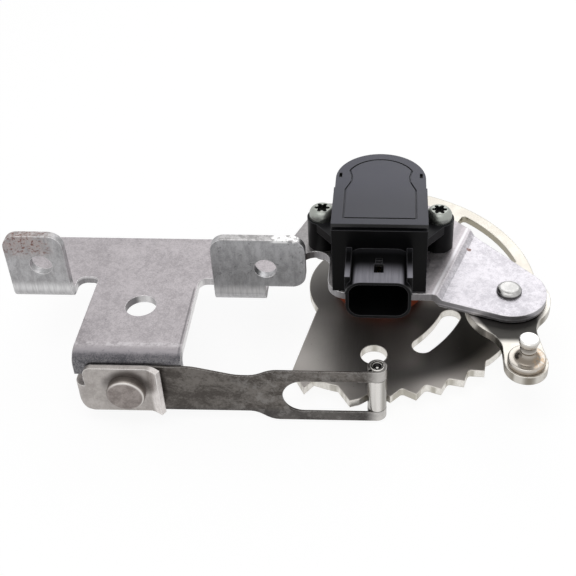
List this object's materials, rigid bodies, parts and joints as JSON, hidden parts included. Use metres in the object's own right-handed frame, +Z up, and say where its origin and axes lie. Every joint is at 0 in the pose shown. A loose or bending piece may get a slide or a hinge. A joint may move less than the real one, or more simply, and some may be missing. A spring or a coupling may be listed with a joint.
{
  "type": "transmission range sensor",
  "caption": "Automatic-transmission range sensor on a sheet bracket with a toothed detent lever, a leaf spring with a roller and a swinging valve lever.",
  "frame": {"origin": "on the detent lever's turning axis, level with the detent plate's top face", "axes": "+X to the right along the bracket, towards the valve lever; +Y to the back, away from the connector; +Z up along the turning axis, towards the sensor's cover"},
  "size_m": [0.1599, 0.1107, 0.0484],
  "materials": {
    "galvanised_sheet": "dull galvanised sheet, finely mottled",
    "clamp_steel": "plain rolled steel",
    "rivet_steel": "cold-headed steel",
    "plate_steel": "blanked steel, oiled",
    "hub_steel": "turned steel",
    "spring_steel": "tempered spring steel, blotched",
    "polished_steel": "ground and polished",
    "turned_steel": "turned steel",
    "zinc_steel": "zinc plated",
    "contact_brass": "plain",
    "black_plastic": "satin moulded",
    "orange_plastic": "moulded",
    "magnet": "sintered",
    "board": "coated",
    "chip": "moulded"
  },
  "bodies": {
    "bracket": {"main_bracket": "galvanised_sheet", "spring_clamp": "clamp_steel", "spring_rivet": "rivet_steel", "pivot_rivet": "rivet_steel", "sensor_housing": "black_plastic", "sensor_cover": "black_plastic", "sensor_screws": "zinc_steel", "ear_sleeves": "zinc_steel", "circuit_board": "board", "sensor_chip": "chip", "connector_pins": "contact_brass"},
    "detent_lever": {"detent_plate": "plate_steel", "shaft_hub": "hub_steel", "sensor_rotor": "orange_plastic", "rotor_magnet": "magnet"},
    "spring_arm": {"detent_spring": "spring_steel", "roller_pin": "polished_steel"},
    "roller": {"detent_roller": "polished_steel"},
    "valve_lever": {"valve_lever": "plate_steel", "lever_stud": "turned_steel"}
  },
  "joints": [
    {"name": "lever_turn", "type": "hinge", "parent": "bracket", "child": "detent_lever", "pos_m": [0, 0, 0], "axis": [0, 0, 1], "range_deg": [-52.2, 0]},
    {"name": "spring_flex", "type": "hinge", "parent": "bracket", "child": "spring_arm", "pos_m": [-0.0598, -0.0529, 0.0036], "axis": [0, 0, -1], "range_deg": [0, 4], "stiffness_Nm_per_rad": 12, "deforming": ["detent_spring"]},
    {"name": "roller_spin", "type": "hinge", "parent": "spring_arm", "child": "roller", "pos_m": [0, -0.0505, 0.003], "axis": [0, 0, 1], "continuous": true},
    {"name": "valve_lever_swing", "type": "hinge", "parent": "bracket", "child": "valve_lever", "pos_m": [0.039, -0.0205, 0.0113], "axis": [0, 0, 1], "range_deg": [-20, 20]}
  ]
}
